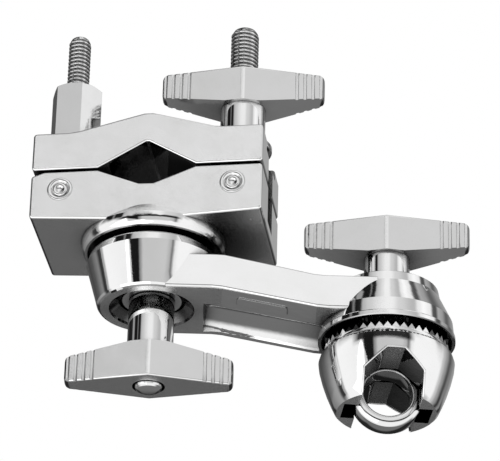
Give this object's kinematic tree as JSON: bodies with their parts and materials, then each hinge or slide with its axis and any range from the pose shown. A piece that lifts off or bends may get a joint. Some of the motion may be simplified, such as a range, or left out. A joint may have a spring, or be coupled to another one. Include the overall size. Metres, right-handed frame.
{
  "type": "swivelling pipe clamp with rod holder",
  "caption": "Hinged V-jaw pipe clamp with a bent swivel arm and a toothed rod holder whose eyebolt and wing nut grip a rod across the arm's end.",
  "frame": {"origin": "centre of the pipe opening between the two jaws, at half the jaws' depth", "axes": "+Z along the axis of the gripped pipe, towards the side with the pin heads shown; +Y along the clamping bolts towards their tips; +X from the jaws towards the rod holder"},
  "size_m": [0.1202, 0.1241, 0.0486],
  "materials": {
    "chrome_casting": "polished chrome plate over a smooth zinc casting, soft mould marks",
    "chrome_wings": "satin chrome plate on the flat faces",
    "chrome_thread": "plated steel, rolled thread with dark roots",
    "chrome_turned": "turned and plated, fine circular lines",
    "spring_steel": "drawn wire"
  },
  "bodies": {
    "base": {"base_jaw": "chrome_casting", "hinge_pin": "chrome_turned", "latch_pin": "chrome_turned", "hub_bolt": "chrome_thread"},
    "upper_jaw": {"upper_jaw": "chrome_casting", "hinge_bolt": "chrome_thread", "hinge_nut": "chrome_wings"},
    "clamp_bolt": {"clamp_bolt": "chrome_thread"},
    "clamp_washer": {"clamp_washer": "chrome_turned"},
    "clamp_nut": {"clamp_wing_nut": "chrome_wings", "clamp_insert": "chrome_turned"},
    "hub_washer": {"hub_washer": "chrome_turned"},
    "hub_nut": {"hub_wing_nut": "chrome_wings", "hub_insert": "chrome_turned"},
    "arm": {"arm": "chrome_casting"},
    "holder_washer": {"holder_washer": "chrome_turned"},
    "holder_nut": {"holder_wing_nut": "chrome_wings", "holder_insert": "chrome_turned"},
    "eyebolt": {"eyebolt": "chrome_turned"},
    "rod_holder": {"rod_holder": "chrome_casting", "holder_spring": "spring_steel"}
  },
  "joints": [
    {"name": "clamp_bolt_swing", "type": "hinge", "parent": "base", "child": "clamp_bolt", "pos_m": [0.0242, -0.0075, 0], "axis": [0, 0, -1], "range_deg": [0, 50]},
    {"name": "clamp_washer_slide", "type": "slide", "parent": "clamp_bolt", "child": "clamp_washer", "axis": [0, 1, 0], "range_m": [0, 0.0101]},
    {"name": "clamp_nut_spin", "type": "hinge", "parent": "clamp_washer", "child": "clamp_nut", "pos_m": [0.0242, 0.03, 0], "axis": [0, 1, 0], "range_deg": [0, 2880]},
    {"name": "jaw_tilt", "type": "hinge", "parent": "base", "child": "upper_jaw", "pos_m": [-0.0242, -0.0075, 0], "axis": [0, 0, 1], "range_deg": [0, 8.05]},
    {"name": "arm_swing", "type": "hinge", "parent": "base", "child": "arm", "pos_m": [0, -0.03, 0], "axis": [0, 1, 0], "continuous": true},
    {"name": "hub_washer_slide", "type": "slide", "parent": "base", "child": "hub_washer", "axis": [0, -1, 0], "range_m": [0, 0.00405]},
    {"name": "hub_nut_spin", "type": "hinge", "parent": "hub_washer", "child": "hub_nut", "pos_m": [0, -0.05, 0], "axis": [0, -1, 0], "range_deg": [0, 1152]},
    {"name": "holder_swivel", "type": "hinge", "parent": "arm", "child": "holder_washer", "pos_m": [0.06454, -0.03, -0.00924], "axis": [0, 1, 0], "continuous": true},
    {"name": "eyebolt_slide", "type": "slide", "parent": "holder_washer", "child": "eyebolt", "axis": [0, 1, 0], "range_m": [-0.00255, 0.00205]},
    {"name": "holder_nut_spin", "type": "hinge", "parent": "holder_washer", "child": "holder_nut", "pos_m": [0.06454, -0.02, -0.00924], "axis": [0, -1, 0], "range_deg": [-720, 576]},
    {"name": "holder_lift", "type": "slide", "parent": "holder_washer", "child": "rod_holder", "axis": [0, 1, 0], "range_m": [0, 0.0039], "stiffness_N_per_m": 400, "springref_m": -0.004, "deforming": ["holder_spring"]}
  ],
  "couplings": [
    {"joint": "clamp_washer_slide", "follows": "clamp_nut_spin", "m_per_rad": 0.00019894},
    {"joint": "jaw_tilt", "follows": "clamp_nut_spin", "ratio": 0.0027778},
    {"joint": "hub_washer_slide", "follows": "hub_nut_spin", "m_per_rad": 0.00019894},
    {"joint": "eyebolt_slide", "follows": "holder_nut_spin", "m_per_rad": 0.00019894}
  ]
}
